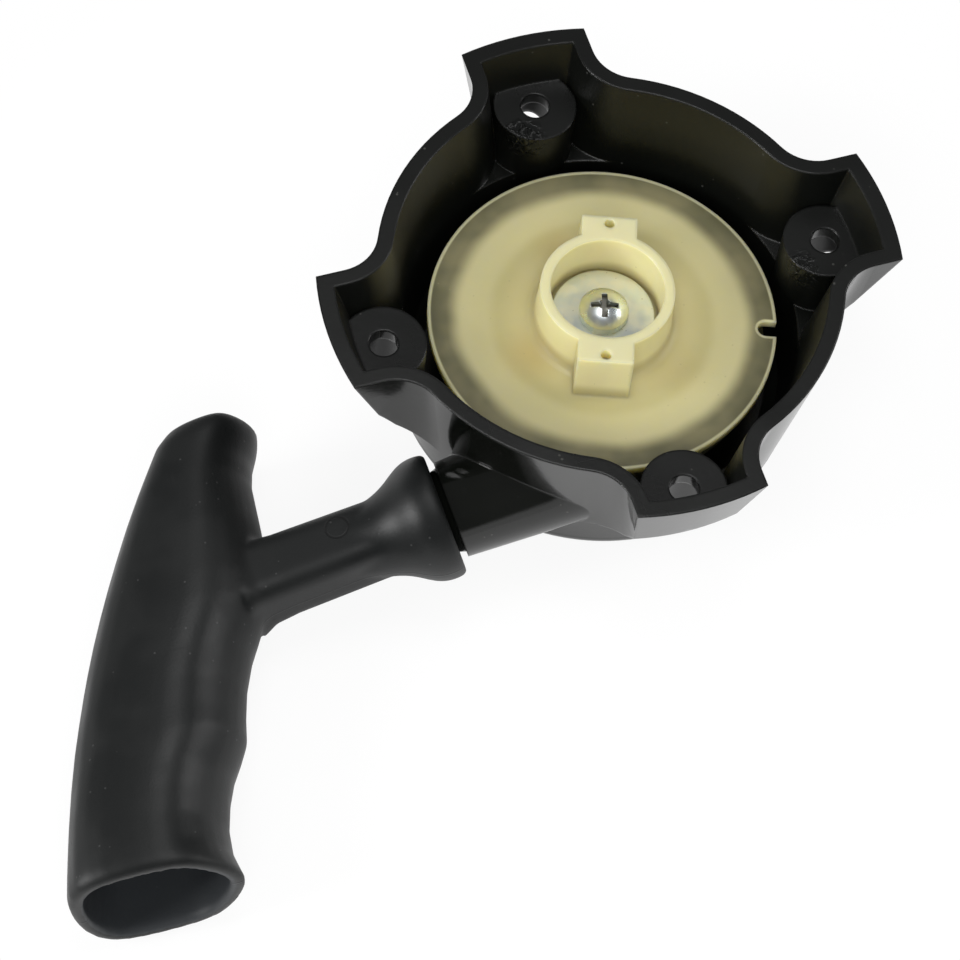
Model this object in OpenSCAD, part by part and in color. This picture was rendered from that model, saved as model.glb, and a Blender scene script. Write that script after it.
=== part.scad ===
// Recoil starter of a small petrol engine, with the open engine side up.
// The origin is the centre of the four mounting holes, level with the boss faces,
// and Z is the axis of the rope reel. The rope leaves along -X, falling slightly.

/* [Housing] */
// Outer radius of the round wall at the rim
wall_r = 43.4; // [41:0.2:48]
// Height of the rim above the boss faces
rim_h = 8; // [5:0.5:12]
// Depth of the closed back below the boss faces
back_depth = 30; // [28:0.5:36]
// Thickness of the moulded walls
wall = 3; // [2.4:0.1:3.6]
// Lean of the round wall, in per unit down
wall_lean = 0.145; // [0.08:0.005:0.16]
// Radius of the round edge of the back
back_round = 5; // [3:0.5:7]

/* [Ears] */
// Outer radius of the ears at the rim
ear_r = 54.5; // [53:0.5:58]
// Outer radius of the shorter ear beside the spout
short_ear_r = 52.4; // [51:0.1:56]
// Width of an ear at the rim
ear_w = 24.6; // [22:0.2:28]
// Radius of the blend between an ear and the round wall
ear_blend = 8.5; // [6:0.5:11]
// Diameter of the circle through the mounting holes
bolt_circle = 87; // [84:0.5:90]
// Diameter of a mounting hole
bolt_hole = 5.5; // [4.5:0.1:6.5]
// Diameter of a mounting boss
boss_d = 16; // [14:0.5:18]
// Thickness of the floor that the screw clamps
boss_floor = 2.8; // [2:0.1:4]
// Depth of the ears' pockets beside the bosses
ear_pocket = 12; // [2:0.5:12.5]
// Diameter of the recess for the screw head, from the back
head_recess = 9; // [8:0.2:10]

/* [Spout] */
// Outer diameter at the mouth
spout_d = 18.4; // [17:0.2:20]
// Outer diameter at the root
spout_root_d = 21; // [20:0.2:23]
// Length from the reel's edge to the mouth
spout_len = 20.1; // [18:0.1:24]
// Fall of the spout below the reel's plane, degrees
spout_drop = 13.3; // [8:0.1:18]
// Turn of the spout and the rope's pull about the reel's axis, degrees
pull_turn = 1; // [-3:0.5:3]

/* [Reel] */
// Radius of the flanges
reel_r = 33; // [31:0.2:35]
// Depth of the reel's top below the boss faces
reel_drop = 9; // [7:0.5:11]
// Thickness of each flange
flange_t = 1.8; // [1.4:0.1:2.4]
// Outer diameter of the hub ring
hub_d = 25.2; // [24:0.2:27]
// Inner diameter of the hub ring
hub_bore = 21.4; // [20.6:0.2:22]
// Height of the hub ring and the drive dogs
hub_h = 10; // [8:0.5:12]
// Width of a drive dog
dog_w = 10.4; // [9:0.2:12]
// Radius of the outer face of a drive dog
dog_r = 16; // [15:0.2:18]
// Direction of the drive dogs, degrees
dog_angle = 70; // [0:1:180]
// Diameter of the axle post
axle_d = 12; // [10:0.2:14]
// Radial running clearance on the axle
axle_play = 0.06; // [0.02:0.01:0.1]

/* [Rope] */
// Diameter of the rope
rope_d = 3; // [2.6:0.1:3.4]
// Radius of the outer layer on the reel
coil_r = 27; // [26:0.1:28]
// Turns on the reel
rope_turns = 3.9; // [3.5:0.1:3.9]

/* [Handle] */
// Gap between the bell and the spout at rest
bell_gap = 1.2; // [0.8:0.1:3]
// Diameter of the bell
bell_d = 23.8; // [22:0.2:25]
// Side of the square stem
stem_w = 13; // [12:0.2:14]
// Length of the grip across the pull
grip_len = 86; // [80:1:94]
// Thickness of the grip
grip_t = 26; // [23:0.5:28]
// Wall of the hollow grip
grip_wall = 2.5; // [2:0.1:3]
// Turn of the handle on the rope at rest, degrees
grip_turn = 4; // [-10:1:10]

/* [Screw and washer] */
// Outer diameter of the retaining washer
washer_d = 19.4; // [18:0.2:20]
// Thickness of the retaining washer
washer_t = 1.2; // [1:0.1:1.6]
// Thread diameter of the centre screw
screw_d = 5; // [4:0.5:6]
// Diameter of the screw's pan head
head_d = 9.3; // [8.6:0.1:10]
// Height of the screw's pan head
head_h = 3.5; // [3:0.1:4]

/* [Hidden] */
$fn = 96;
eps = 0.02;
// Levels
back_z = -back_depth;
floor_z = back_z + 2.6;
reel_top = -reel_drop;
groove_w = rope_d + 1;
groove_z = reel_top - flange_t - groove_w / 2;
reel_bottom = reel_top - 2 * flange_t - groove_w;
hub_floor = reel_top - 0.5;
axle_top = reel_top - 0.1;
washer_top = axle_top + washer_t;
// Rope
rope_pitch = rope_d + 0.5;
coil_end_r = coil_r - rope_turns * rope_pitch;
core_r = coil_end_r - rope_d * 1.35;
knot_d = rope_d * 1.7;
reel_knot_l = 4.4;
bend_x = -sqrt(reel_r * reel_r - coil_r * coil_r);
bend_r = 20;
bend_run = bend_r * tan(spout_drop / 2);
bore_d = rope_d + 1.4;
// Spout
spout_tip = [bend_x - spout_len * cos(spout_drop), -coil_r, groove_z - spout_len * sin(spout_drop)];
mouth_wall = 3;
// Nose on the mouth that centres the bell and closes the gap to it
nose_len = bell_gap + 0.4;
eyelet_d = bore_d + 3.4;
eyelet_lip = 0.9;
eyelet_flange = eyelet_d + 2.1;
// Spring
strip_t = 0.6;
strip_h = 5.4;
spring_turns = 8;
sleeve_z = floor_z + 0.4;
sleeve_r = axle_d / 2 + axle_play + 2.8;
spring_in = sleeve_r + 0.8;
ring_r = 25;
spring_out = ring_r - strip_t / 2 - 0.25;
ring_top = reel_bottom - 1.8;
spring_slot = 200;
spring_first = spring_slot + 14 - 360 * spring_turns;
hook_turn = 13;
// Ears
ear_cos = wall_r + ear_blend;
ear_side = ear_w / 2;
ear_cx = sqrt(ear_cos * ear_cos - pow(ear_side + ear_blend, 2));
ear_cy = ear_side + ear_blend;
ear_low = -17.5;
// Handle, along the pull from the spout's mouth
knot_seat = 41;
stop_knot_l = 9;
stop_knot_d = rope_d * 2.9;
// Handle off the rope's line, as it hangs within its bore
hang = 0.35;

// Round wall at a height above the boss faces
function wall_at(z) = wall_r - wall_lean * (rim_h - z);
// Points turned about Z
function polar(r, a) = [r * cos(a), r * sin(a)];

// Triangles of a skin over closed rings of k points, with flat ends
function skin_faces(rings, k) = concat(
  [for (i = [0:rings - 2]) for (j = [0:k - 1]) [i * k + j, i * k + (j + 1) % k, (i + 1) * k + j]],
  [for (i = [0:rings - 2]) for (j = [0:k - 1])
    [i * k + (j + 1) % k, (i + 1) * k + (j + 1) % k, (i + 1) * k + j]],
  [for (j = [1:k - 2]) [0, j + 1, j]],
  [for (j = [1:k - 2]) [(rings - 1) * k, (rings - 1) * k + j, (rings - 1) * k + j + 1]]);

// Puts +X along the pull, +Y towards the long end of the grip, origin at the spout's mouth
module along_pull() {
  rotate([0, 0, pull_turn])
    translate(spout_tip)
      rotate([0, -spout_drop, 0])
        rotate([0, 0, 180])
          children();
}

// Cylinder along +X from x0 to x1
module rod(x0, x1, d) {
  translate([x0, 0, 0])
    rotate([0, 90, 0])
      cylinder(h = x1 - x0, d = d);
}

// Solid of one ear on +X to an outer radius, drawn in by a wall thickness and cut off at a level
module ear_solid(outer, inset, low) {
  corner = atan2(ear_cy, ear_cx);
  far = ear_r + 20;
  difference() {
    intersection() {
      translate([0, 0, low])
        linear_extrude(rim_h + eps * 2 * inset - low)
          polygon([[0, 0], polar(far, -corner), [far, 0], polar(far, corner)]);
      ear_lean(outer, inset);
    }
    for (side = [-1, 1])
      ear_flank(side, inset, low);
  }
}

// Leaning outer face of the ears, steeper at the foot outside
module ear_lean(outer, inset) {
  r = outer - inset * 1.07;
  up = rim_h + 1;
  foot = ear_r - inset * 1.07 - (inset > 0 ? 0.33 : 0.4) * (rim_h + 8);
  lean = (r - foot) / (rim_h + 8);
  rotate_extrude()
    polygon([[0, up], [r + lean, up], [foot, -8], [foot - 3.4, -13], [wall_at(-20) - inset, ear_low],
      [0, ear_low]]);
}

// What is cut from one flank of an ear: a cone that blends into the round wall, then a leaning flat
module ear_flank(side, inset, low) {
  top = rim_h + 1;
  half = ear_side - inset;
  drop = top + 1 - low;
  translate([ear_cx, side * ear_cy, low - 1])
    cylinder(h = drop, r1 = ear_blend + inset + wall_lean * (rim_h - low + 1),
      r2 = ear_blend + inset - wall_lean);
  translate([ear_cx, 0, 0])
    rotate([90, 0, 90])
      linear_extrude(40)
        polygon([[side * (half - wall_lean * (rim_h - low + 1)), low - 1], [side * (half + wall_lean), top],
          [side * 60, top], [side * 60, low - 1]]);
}

// The four ears, the one on -Y shorter
module ears(inset, low) {
  for (i = [0:3])
    rotate([0, 0, 90 * i])
      ear_solid(i == 3 ? short_ear_r : ear_r, inset, low);
}

// Copies at the four mounting holes
module at_holes() {
  for (a = [0:90:270])
    rotate([0, 0, a])
      children();
}

// Outside of the cup as a turned solid
module cup_outside() {
  low_r = wall_at(back_z + back_round);
  rotate_extrude()
    union() {
      polygon([[0, rim_h], [wall_r, rim_h], [low_r, back_z + back_round], [low_r - back_round, back_z],
        [0, back_z]]);
      translate([low_r - back_round, back_z + back_round])
        circle(r = back_round);
    }
}

// Inside of the cup, with the axle post and the spring's ring wall left standing
module cup_inside() {
  top = rim_h + 1;
  difference() {
    rotate_extrude()
      polygon([[0, top], [wall_at(top) - wall, top], [wall_at(floor_z + 2) - wall, floor_z + 2],
        [wall_at(floor_z) - wall - 2, floor_z], [0, floor_z]]);
    translate([0, 0, floor_z - 1])
      cylinder(h = axle_top - floor_z + 1, d = axle_d);
    difference() {
      translate([0, 0, floor_z - 1])
        cylinder(h = ring_top - floor_z + 1, r = ring_r + 2);
      translate([0, 0, floor_z - 2])
        cylinder(h = ring_top - floor_z + 4, r = ring_r);
      rotate([0, 0, spring_slot])
        translate([ring_r - 2, -0.9, floor_z])
          cube([6, 3.5, ring_top - floor_z + 1]);
    }
  }
}

// Moulded housing: cup, four ears, spout and axle post
module starter_housing() {
  color([0.08, 0.08, 0.08])
    difference() {
      union() {
        difference() {
          union() {
            cup_outside();
            ears(0, ear_low);
            along_pull()
              rotate([0, -90, 0])
                cylinder(h = spout_len + 4, d1 = spout_d, d2 = spout_root_d);
            along_pull()
              rotate([0, 90, 0])
                translate([0, 0, -0.5])
                  cylinder(h = nose_len + 0.5, d1 = spout_d - 1.6, d2 = spout_d - 3);
          }
          cup_inside();
          ears(wall, -ear_pocket);
        }
        intersection() {
          at_holes()
            translate([bolt_circle / 2, 0, ear_low])
              cylinder(h = -ear_low, d = boss_d);
          ears(wall * 0.7, ear_low);
        }
      }
      at_holes() {
        translate([bolt_circle / 2, 0, -boss_floor - 1])
          cylinder(h = boss_floor + 2, d = bolt_hole);
        translate([bolt_circle / 2, 0, back_z])
          cylinder(h = -back_z - boss_floor, d = head_recess);
      }
      along_pull() {
        rod(-spout_len - 6, -mouth_wall, spout_d - 2 * wall);
        rod(-mouth_wall - 1, 1, eyelet_d);
        rod(-eyelet_lip, nose_len + 1, eyelet_flange);
      }
      translate([0, 0, axle_top - 11])
        cylinder(h = 12, d = screw_d + 0.1);
    }
}

// Flanged eyelet pressed flush into the spout's mouth, its inner edges rounded
module rope_eyelet() {
  round_r = 0.8;
  color([0.72, 0.7, 0.66])
    along_pull()
      rotate([0, 90, 0])
        rotate_extrude()
          difference() {
            union() {
              translate([bore_d / 2, -mouth_wall])
                square([(eyelet_d - bore_d) / 2, mouth_wall]);
              translate([bore_d / 2, -eyelet_lip])
                square([(eyelet_flange - bore_d) / 2, eyelet_lip]);
            }
            for (y = [-round_r, -mouth_wall + round_r])
              inner_corner(y, y > -mouth_wall / 2 ? 1 : -1, round_r);
          }
}

// What is cut from a corner of the eyelet's bore to leave a quarter round
module inner_corner(y, way, r) {
  difference() {
    translate([bore_d / 2 - 1, way > 0 ? y : y - r - 1])
      square([r + 1, r + 1]);
    translate([bore_d / 2 + r, y])
      circle(r = r, $fn = 48);
  }
}

// Points of the spring's strip in plan: a hook into the sleeve, a spiral, an end in the ring's slot
spring_steps = 24 * spring_turns;
spring_path = concat(
  [polar(sleeve_r - 1.6, spring_first - hook_turn), polar(sleeve_r + 0.2, spring_first - hook_turn + 3)],
  [for (i = [0:spring_steps]) polar(spring_in + (spring_out - spring_in) * i / spring_steps,
    spring_first + 360 * i / 24)],
  [polar(ring_r - 0.45, spring_slot + 5), polar(ring_r + 1.2, spring_slot)]);
spring_n = len(spring_path);
function spring_dir(i) = let (d = spring_path[min(i + 1, spring_n - 1)] - spring_path[max(i - 1, 0)])
  d / norm(d);
function spring_side(i) = let (d = spring_dir(i)) [-d[1], d[0]] * strip_t / 2;

// Flat spiral recoil spring
module recoil_spring() {
  color([0.35, 0.36, 0.38])
    polyhedron([for (i = [0:spring_n - 1]) for (c = [[1, 0], [-1, 0], [-1, 1], [1, 1]])
        let (p = spring_path[i] + c[0] * spring_side(i)) [p[0], p[1], floor_z + c[1] * strip_h]],
      skin_faces(spring_n, 4));
}

// One drive dog on +X: a leaning block that grows out of the hub ring
module dog() {
  rotate([90, 0, 0])
    translate([0, 0, -dog_w / 2])
      linear_extrude(dog_w)
        polygon([[hub_bore / 2 + 0.6, reel_top - eps], [dog_r + 1.4, reel_top - eps],
          [dog_r, reel_top + hub_h], [hub_bore / 2 + 0.6, reel_top + hub_h]]);
}

// Angle and place of the rope's inner end on the reel
coil_lead = asin(rope_d / coil_r);
coil_first = coil_lead - 90 + pull_turn;
coil_first_r = coil_r / cos(coil_lead);
coil_last = coil_first + 360 * rope_turns;
// Straight inner end, turned in towards the core, with the knot on it
coil_in = [-sin(coil_last + 25), cos(coil_last + 25)];
coil_tail = polar(coil_end_r, coil_last) + rope_d * coil_in;
knot_mid = coil_tail + reel_knot_l / 2 * coil_in;
knot_z = groove_z - 0.65;

// Rope reel: two flanges, a core, the hub ring, two dogs and the sleeve that winds the spring
module reel() {
  low_r = reel_r - 1.6;
  color([0.86, 0.82, 0.64])
    difference() {
      union() {
        rotate_extrude()
          polygon([[0, reel_bottom], [low_r, reel_bottom], [low_r, reel_bottom + flange_t],
            [core_r, reel_bottom + flange_t], [core_r, reel_top - flange_t], [reel_r, reel_top - flange_t],
            [reel_r, reel_top], [hub_d / 2 + 2.2, reel_top], [hub_d / 2 + 1.1, reel_top + 0.3],
            [hub_d / 2 + 0.55, reel_top + 0.9], [hub_d / 2 + 0.3, reel_top + 2.2], [hub_d / 2, reel_top + hub_h],
            [0, reel_top + hub_h]]);
        for (a = [0, 180])
          rotate([0, 0, dog_angle + a])
            dog();
        translate([0, 0, sleeve_z])
          cylinder(h = reel_bottom - sleeve_z + 1, r = sleeve_r);
      }
      translate([0, 0, hub_floor])
        cylinder(h = hub_h + 2, d = hub_bore);
      translate([0, 0, sleeve_z - 1])
        cylinder(h = hub_floor - sleeve_z + 2, r = axle_d / 2 + axle_play);
      for (a = [0, 180])
        rotate([0, 0, dog_angle + a])
          translate([dog_r - 1.5, 0, reel_top + hub_h - 2.5])
            cylinder(h = 4, d = 2);
      rotate([0, 0, -20])
        translate([reel_r, 0, reel_top - flange_t - 0.5])
          rim_notch();
      translate([knot_mid[0], knot_mid[1], reel_bottom - 1])
        cylinder(h = flange_t + 1, d = norm([knot_d, reel_knot_l]) + 0.8);
      rotate([0, 0, spring_first - hook_turn])
        translate([0, -1, sleeve_z - 1])
          cube([sleeve_r + 1, 2.4, strip_h + 1.4]);
    }
}

// Rounded notch in the upper flange, for lifting the rope when winding the spring
module rim_notch() {
  width = 3.2;
  translate([-2, 0, 0])
    cylinder(h = flange_t + 1, d = width);
  translate([-2, -width / 2, 0])
    cube([4, width, flange_t + 1]);
}

// Centre line of the wound rope: straight at the outer end, a flat spiral, straight at the inner end
rope_steps = round(24 * rope_turns);
coil_pts = [for (i = [0:rope_steps]) let (a = 360 * rope_turns * i / rope_steps)
  polar(coil_first_r + (coil_end_r - coil_first_r) * i / rope_steps, coil_first + a)];
coil_path = concat([polar(coil_r, pull_turn - 90)], coil_pts, [coil_tail]);
coil_n = len(coil_path);
function coil_dir(i) = i == 0 ? polar(1, pull_turn) : i == coil_n - 1 ? coil_in
  : let (d = coil_path[i + 1] - coil_path[i - 1]) d / norm(d);
function coil_ring(i, k) = let (d = coil_dir(i))
  [for (j = [0:k - 1]) let (a = 360 * j / k, s = rope_d / 2 * cos(a))
    [coil_path[i][0] - d[1] * s, coil_path[i][1] + d[0] * s, groove_z - rope_d / 2 * sin(a)]];

// Rope wound on the reel as one unbroken tube
module rope_wound() {
  color([0.16, 0.16, 0.17])
    polyhedron([for (i = [0:coil_n - 1]) each coil_ring(i, 8)], skin_faces(coil_n, 8));
}

// Anchor knot in the reel's pocket, two wraps of rope
module reel_knot() {
  color([0.16, 0.16, 0.17])
    translate([coil_tail[0], coil_tail[1], knot_z])
      rotate([0, 0, coil_last + 115])
        rotate([0, 90, 0])
          wraps(2, reel_knot_l, knot_d);
}

// Stack of rope wraps with flat ends, from the origin along +Z
module wraps(count, length, d) {
  r = length / count / 2;
  rotate_extrude()
    union() {
      square([d / 2 - r, length]);
      for (i = [0:count - 1])
        translate([d / 2 - r, (2 * i + 1) * r])
          circle(r = r, $fn = 48);
    }
}

// Zinc washer on the axle post
module retaining_washer() {
  color([0.75, 0.77, 0.74])
    translate([0, 0, axle_top])
      difference() {
        cylinder(h = washer_t, d = washer_d);
        translate([0, 0, -1])
          cylinder(h = washer_t + 2, d = screw_d + 0.4);
      }
}

// Pan-head screw with a cross recess
module centre_screw() {
  dome = 7;
  recess = 1.1;
  color([0.78, 0.79, 0.76])
    difference() {
      union() {
        translate([0, 0, axle_top - 9])
          cylinder(h = 9 + washer_t + 0.5, d = screw_d);
        intersection() {
          translate([0, 0, washer_top])
            cylinder(h = head_h, d = head_d);
          translate([0, 0, washer_top + head_h - dome])
            sphere(r = dome);
        }
      }
      rotate([0, 0, -18])
        for (a = [0, 90])
          rotate([0, 0, a])
            translate([-2.6, -recess / 2, washer_top + head_h - 1.9])
              cube([5.2, recess, 4]);
      translate([0, 0, washer_top + head_h - 1.9])
        cylinder(h = 4, d1 = 1.4, d2 = 3.6);
    }
}

// Centre line of the rope from the reel to the bell, in the plane of the spout: a bend, then straight
bend_steps = 4;
run_path = concat([[0, groove_z], [bend_x / 2, groove_z]],
  [for (i = [0:bend_steps]) let (a = spout_drop * i / bend_steps)
    [bend_x + bend_run - bend_r * sin(a), groove_z - bend_r * (1 - cos(a))]],
  [for (s = [-spout_len / 2, bell_gap])
    [spout_tip[0] - s * cos(spout_drop), spout_tip[2] - s * sin(spout_drop)]]);
run_n = len(run_path);
function run_dir(i) = i == 0 ? [-1, 0] : i == run_n - 1 ? [-cos(spout_drop), -sin(spout_drop)]
  : let (d = run_path[i + 1] - run_path[i - 1]) d / norm(d);
function run_ring(i, k) = let (d = run_dir(i))
  [for (j = [0:k - 1]) let (a = 360 * j / k, up = -rope_d / 2 * sin(a))
    [run_path[i][0] - d[1] * up, rope_d / 2 * cos(a) - coil_r, run_path[i][1] + d[0] * up]];

// Rope from the reel, over a bend at the reel's edge and through the spout
module rope_run() {
  color([0.16, 0.16, 0.17])
    rotate([0, 0, pull_turn])
      polyhedron([for (i = [0:run_n - 1]) each run_ring(i, 8)], skin_faces(run_n, 8));
}

// Rope inside the handle's stem
module rope_in_handle() {
  color([0.16, 0.16, 0.17])
    along_pull()
      rod(bell_gap, knot_seat, rope_d);
}

// Stopper knot inside the grip, three wraps of rope
module handle_knot() {
  color([0.16, 0.16, 0.17])
    along_pull()
      translate([knot_seat, 0, 0])
        rotate([0, 90, 0])
          wraps(3, stop_knot_l, stop_knot_d);
}

// Half outline of the grip's section, from the inner edge to the outer edge: place and half thickness
grip_half = [[0, 0], [0.005, 0.11], [0.022, 0.25], [0.06, 0.43], [0.11, 0.6], [0.17, 0.755], [0.23, 0.865],
  [0.3, 0.94], [0.38, 0.98], [0.48, 0.997], [0.58, 1], [0.7, 0.985], [0.8, 0.94], [0.88, 0.85], [0.945, 0.665],
  [0.985, 0.4], [0.997, 0.18], [1, 0]];
grip_k = 2 * len(grip_half) - 2;
// Along the grip: place, inner edge, outer edge, thickness
grip_rows = [[-32.6, 31.6, 41.5, 0.64], [-32.2, 30.2, 44.4, 0.79], [-31.2, 29.3, 46.8, 0.89],
  [-29, 30, 49.4, 0.94], [-25.2, 32.1, 52.1, 0.96], [-21, 33.4, 55.1, 0.98], [-15.8, 33.9, 58.7, 0.99],
  [-10.5, 34.4, 62.1, 1], [-5, 35.2, 65.5, 1], [0, 36, 68.4, 1], [5, 37.6, 71.1, 1], [10, 40.8, 73.5, 1],
  [14, 43.4, 75.3, 1], [19, 46, 77.4, 1], [24, 47.8, 79.4, 1], [28, 48.9, 80.8, 1], [31, 50.9, 81.8, 1],
  [34, 53.1, 82.7, 1], [38, 55.1, 83.9, 1], [43, 56.8, 85.3, 1], [48, 57.4, 86.7, 1],
  [51.3, 56.9, 87.6, 0.99], [52.8, 56.6, 87.7, 0.97], [53.4, 56.9, 87.2, 0.93]];
grip_n = len(grip_rows);
grip_scale = grip_len / 86;
// Slant of the cut across the open end, growing along the grip
function grip_slant(t, s, up) = min(1, max(0, (t - 15) / 30)) * (0.119 * (s - 72) + 0.05 * up);
// Closed ring of the section in a row, drawn in by a wall
function grip_ring(row, inset) =
  let (a = row[1] + inset, b = row[2] - inset, h = grip_t / 2 * row[3] - inset)
  [for (i = [0:grip_k - 1])
    let (p = grip_half[i <= grip_k / 2 ? i : grip_k - i], s = a + p[0] * (b - a),
      up = (i <= grip_k / 2 ? -1 : 1) * h * p[1])
    [s, row[0] * grip_scale - grip_slant(row[0], s, up), up]];

// Rows of the hollow: from the closed end to past the open end
hollow_rows = concat([for (i = [4:grip_n - 3]) grip_rows[i]], [[59, 56.9, 88.6, 1]]);

// One-piece T-handle: bell, stem and hollow slanted grip
module handle() {
  color([0.1, 0.1, 0.1])
    along_pull()
      translate([0, hang, 0])
        rotate([grip_turn, 0, 0])
          difference() {
            union() {
              polyhedron([for (row = grip_rows) each grip_ring(row, 0)], skin_faces(grip_n, grip_k));
              stem();
              bell();
            }
            polyhedron([for (row = hollow_rows) each grip_ring(row, grip_wall)],
              skin_faces(len(hollow_rows), grip_k));
            rod(0, 60, bore_d);
            rod(knot_seat, 56, stop_knot_d + 2);
            translate([bell_gap, 0, 0])
              rotate([0, 90, 0])
                cylinder(h = 4, d1 = bell_d - 5, d2 = bore_d + 3);
          }
}

// Square stem with round edges, widening from the bell and flaring into the grip
module stem() {
  w = stem_w * 0.95;
  mid = stem_w * 1.02;
  stem_length(bell_gap + 8, knot_seat + 4, w, mid);
  stem_length(knot_seat - 7.5, knot_seat - 3.5, stem_w, stem_w + 0.6);
  stem_length(knot_seat - 3.5, knot_seat - 0.5, stem_w + 0.6, stem_w + 3);
}

// Length of the stem between two places, from one width to another
module stem_length(from, to, w0, w1) {
  r = 3;
  translate([from, 0, 0])
    rotate([0, 90, 0])
      linear_extrude(to - from, scale = w1 / w0)
        union() {
          square([w0, w0 - 2 * r], center = true);
          square([w0 - 2 * r, w0], center = true);
          for (x = [-1, 1])
            for (y = [-1, 1])
              translate([x, y] * (w0 / 2 - r))
                circle(r = r, $fn = 48);
        }
}

// Bell turned about the stem's axis
module bell() {
  r = bell_d / 2;
  translate([bell_gap, 0, 0])
    rotate([0, 90, 0])
      rotate_extrude()
        polygon([[0, 0], [r - 0.7, 0], [r - 0.2, 0.5], [r, 1.6], [r, 3], [r - 0.25, 4.4], [r - 0.8, 5.8],
          [r - 1.7, 7.3], [r - 2.7, 8.8], [r - 3.55, 10.4], [r - 4.2, 12.1], [r - 4.7, 14], [r - 5.2, 16.2],
          [r - 5.6, 18.6], [r - 6, 21.2], [0, 21.2]]);
}

// Least distance between points of a path that are more than a number of steps apart
function least_gap(path, skip) = min([for (i = [0:len(path) - 1]) for (j = [i + skip:1:len(path) - 1])
  norm(path[i] - path[j])]);
echo(rope_self_gap = least_gap(coil_path, 16) - rope_d);
echo(spring_self_gap = least_gap(spring_path, 16) - strip_t);

starter_housing();
rope_eyelet();
recoil_spring();
reel();
rope_wound();
reel_knot();
retaining_washer();
centre_screw();
rope_run();
rope_in_handle();
handle_knot();
handle();
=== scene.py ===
import math
import bpy
import bmesh
from mathutils import Matrix, Vector


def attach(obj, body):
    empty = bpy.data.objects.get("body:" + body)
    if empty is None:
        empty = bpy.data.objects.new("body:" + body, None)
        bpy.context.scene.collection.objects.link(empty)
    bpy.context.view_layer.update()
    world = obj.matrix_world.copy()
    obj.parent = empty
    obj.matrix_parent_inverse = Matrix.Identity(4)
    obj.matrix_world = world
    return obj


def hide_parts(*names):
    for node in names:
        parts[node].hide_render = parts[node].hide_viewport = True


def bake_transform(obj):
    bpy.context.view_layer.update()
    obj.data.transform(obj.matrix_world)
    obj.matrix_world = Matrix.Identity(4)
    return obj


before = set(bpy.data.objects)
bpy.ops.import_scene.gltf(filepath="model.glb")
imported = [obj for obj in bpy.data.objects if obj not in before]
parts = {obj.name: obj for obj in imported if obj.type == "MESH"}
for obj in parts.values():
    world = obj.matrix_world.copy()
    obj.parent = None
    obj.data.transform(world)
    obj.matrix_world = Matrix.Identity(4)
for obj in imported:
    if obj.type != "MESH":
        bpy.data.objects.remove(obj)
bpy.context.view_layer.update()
scene = bpy.context.scene
MM = 0.001

# Route of the rope, in millimetres and degrees, as in the part's source
ROPE_R = 1.5
COIL_R = 27.0
COIL_END_R = 13.35
COIL_TURNS = 3.9
COIL_LEAD = math.degrees(math.asin(2 * ROPE_R / COIL_R))
TAIL_TURN = 115
GROOVE_Z = -12.8
REEL_R = 33.0
PULL_TURN = 1.0
SPOUT_LEN = 20.1
SPOUT_DROP = math.radians(13.3)
SPOUT_ROOT = 4.0
BEND_R = 20.0
BELL_GAP = 1.2
KNOT_SEAT = 41.0
REEL_KNOT_DROP = 0.65
PULL_TRAVEL = 460.0

# How the handle hangs on the rope
HANDLE_SIDE = 0.35
HANDLE_TURN = math.radians(4)

# Knots: number of wraps, length and width in millimetres
REEL_KNOT = (2, 4.4, 5.1)
HANDLE_KNOT = (3, 9.0, 8.7)

# Camera at the photograph's angle: degrees of turn, tilt and roll, and millimetres
CAMERA_ANGLES = (-24.797, 60.353, 8.219)
CAMERA_FAR = 649.5
CAMERA_RIGHT = -23.04
CAMERA_UP = -30.68
CAMERA_AIM = (0, 0, -9)
CAMERA_LENS = 129.48
CAMERA_SENSOR = 36
CAMERA_NEAR = 0.01

# Floor under the housing's back and the grip: its place in millimetres, the rest in metres
FLOOR_AT = (-30, -20, -36.95)
FLOOR_UP = (-0.1066, 0, 0.9943)
FLOOR_R = 0.15
FLOOR_SIDES = 96
FLOOR_FADE = (0.112, 0.146)
FLOOR_TONE = (0.9, 0.9, 0.9, 1)

# How much of plain white shows straight on, in gloss and in soft light
FLOOR_STRAIGHT = 0.9
FLOOR_IN_GLOSS = 0.3
SKY_FILL = 0.38
HORIZON = (-0.04, 0.14)
SKY_LOW, SKY_HIGH = 1.0, 0.13

# Lights: name, turn and tilt in degrees, size in metres, power, and whether gloss shows them
LIGHT_FAR = 1.0
SOFT_LIGHTS = (
    ("top_softbox", 100, 84, 0.45, 2.9, True),
    ("front_fill", -112, 44, 0.6, 4.9, False),
    ("right_softbox", -5, 33, 0.45, 2.6, True),
    ("left_softbox", 180, 24, 0.4, 5.5, True),
)


# Camera, floor and light

def place_camera():
    turn, tilt, roll = (math.radians(d) for d in CAMERA_ANGLES)
    back = Vector((math.sin(turn) * math.cos(tilt), -math.cos(turn) * math.cos(tilt),
                   math.sin(tilt)))
    level = Vector((math.cos(turn), math.sin(turn), 0))
    rise = back.cross(level)
    right = level * math.cos(roll) + rise * math.sin(roll)
    up = rise * math.cos(roll) - level * math.sin(roll)
    stand = Matrix((right, up, back)).transposed().to_4x4()
    stand.translation = (back * CAMERA_FAR + right * CAMERA_RIGHT + up * CAMERA_UP
                         + Vector(CAMERA_AIM)) * MM
    lens = bpy.data.cameras.new("photo_camera")
    lens.sensor_width = CAMERA_SENSOR
    lens.lens = CAMERA_LENS
    lens.clip_start = CAMERA_NEAR
    camera = bpy.data.objects.new("photo_camera", lens)
    camera.matrix_world = stand
    scene.collection.objects.link(camera)
    scene.camera = camera


def add_node(tree, kind, **settings):
    node = tree.nodes.new(kind)
    for name, value in settings.items():
        setattr(node, name, value)
    return node


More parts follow.
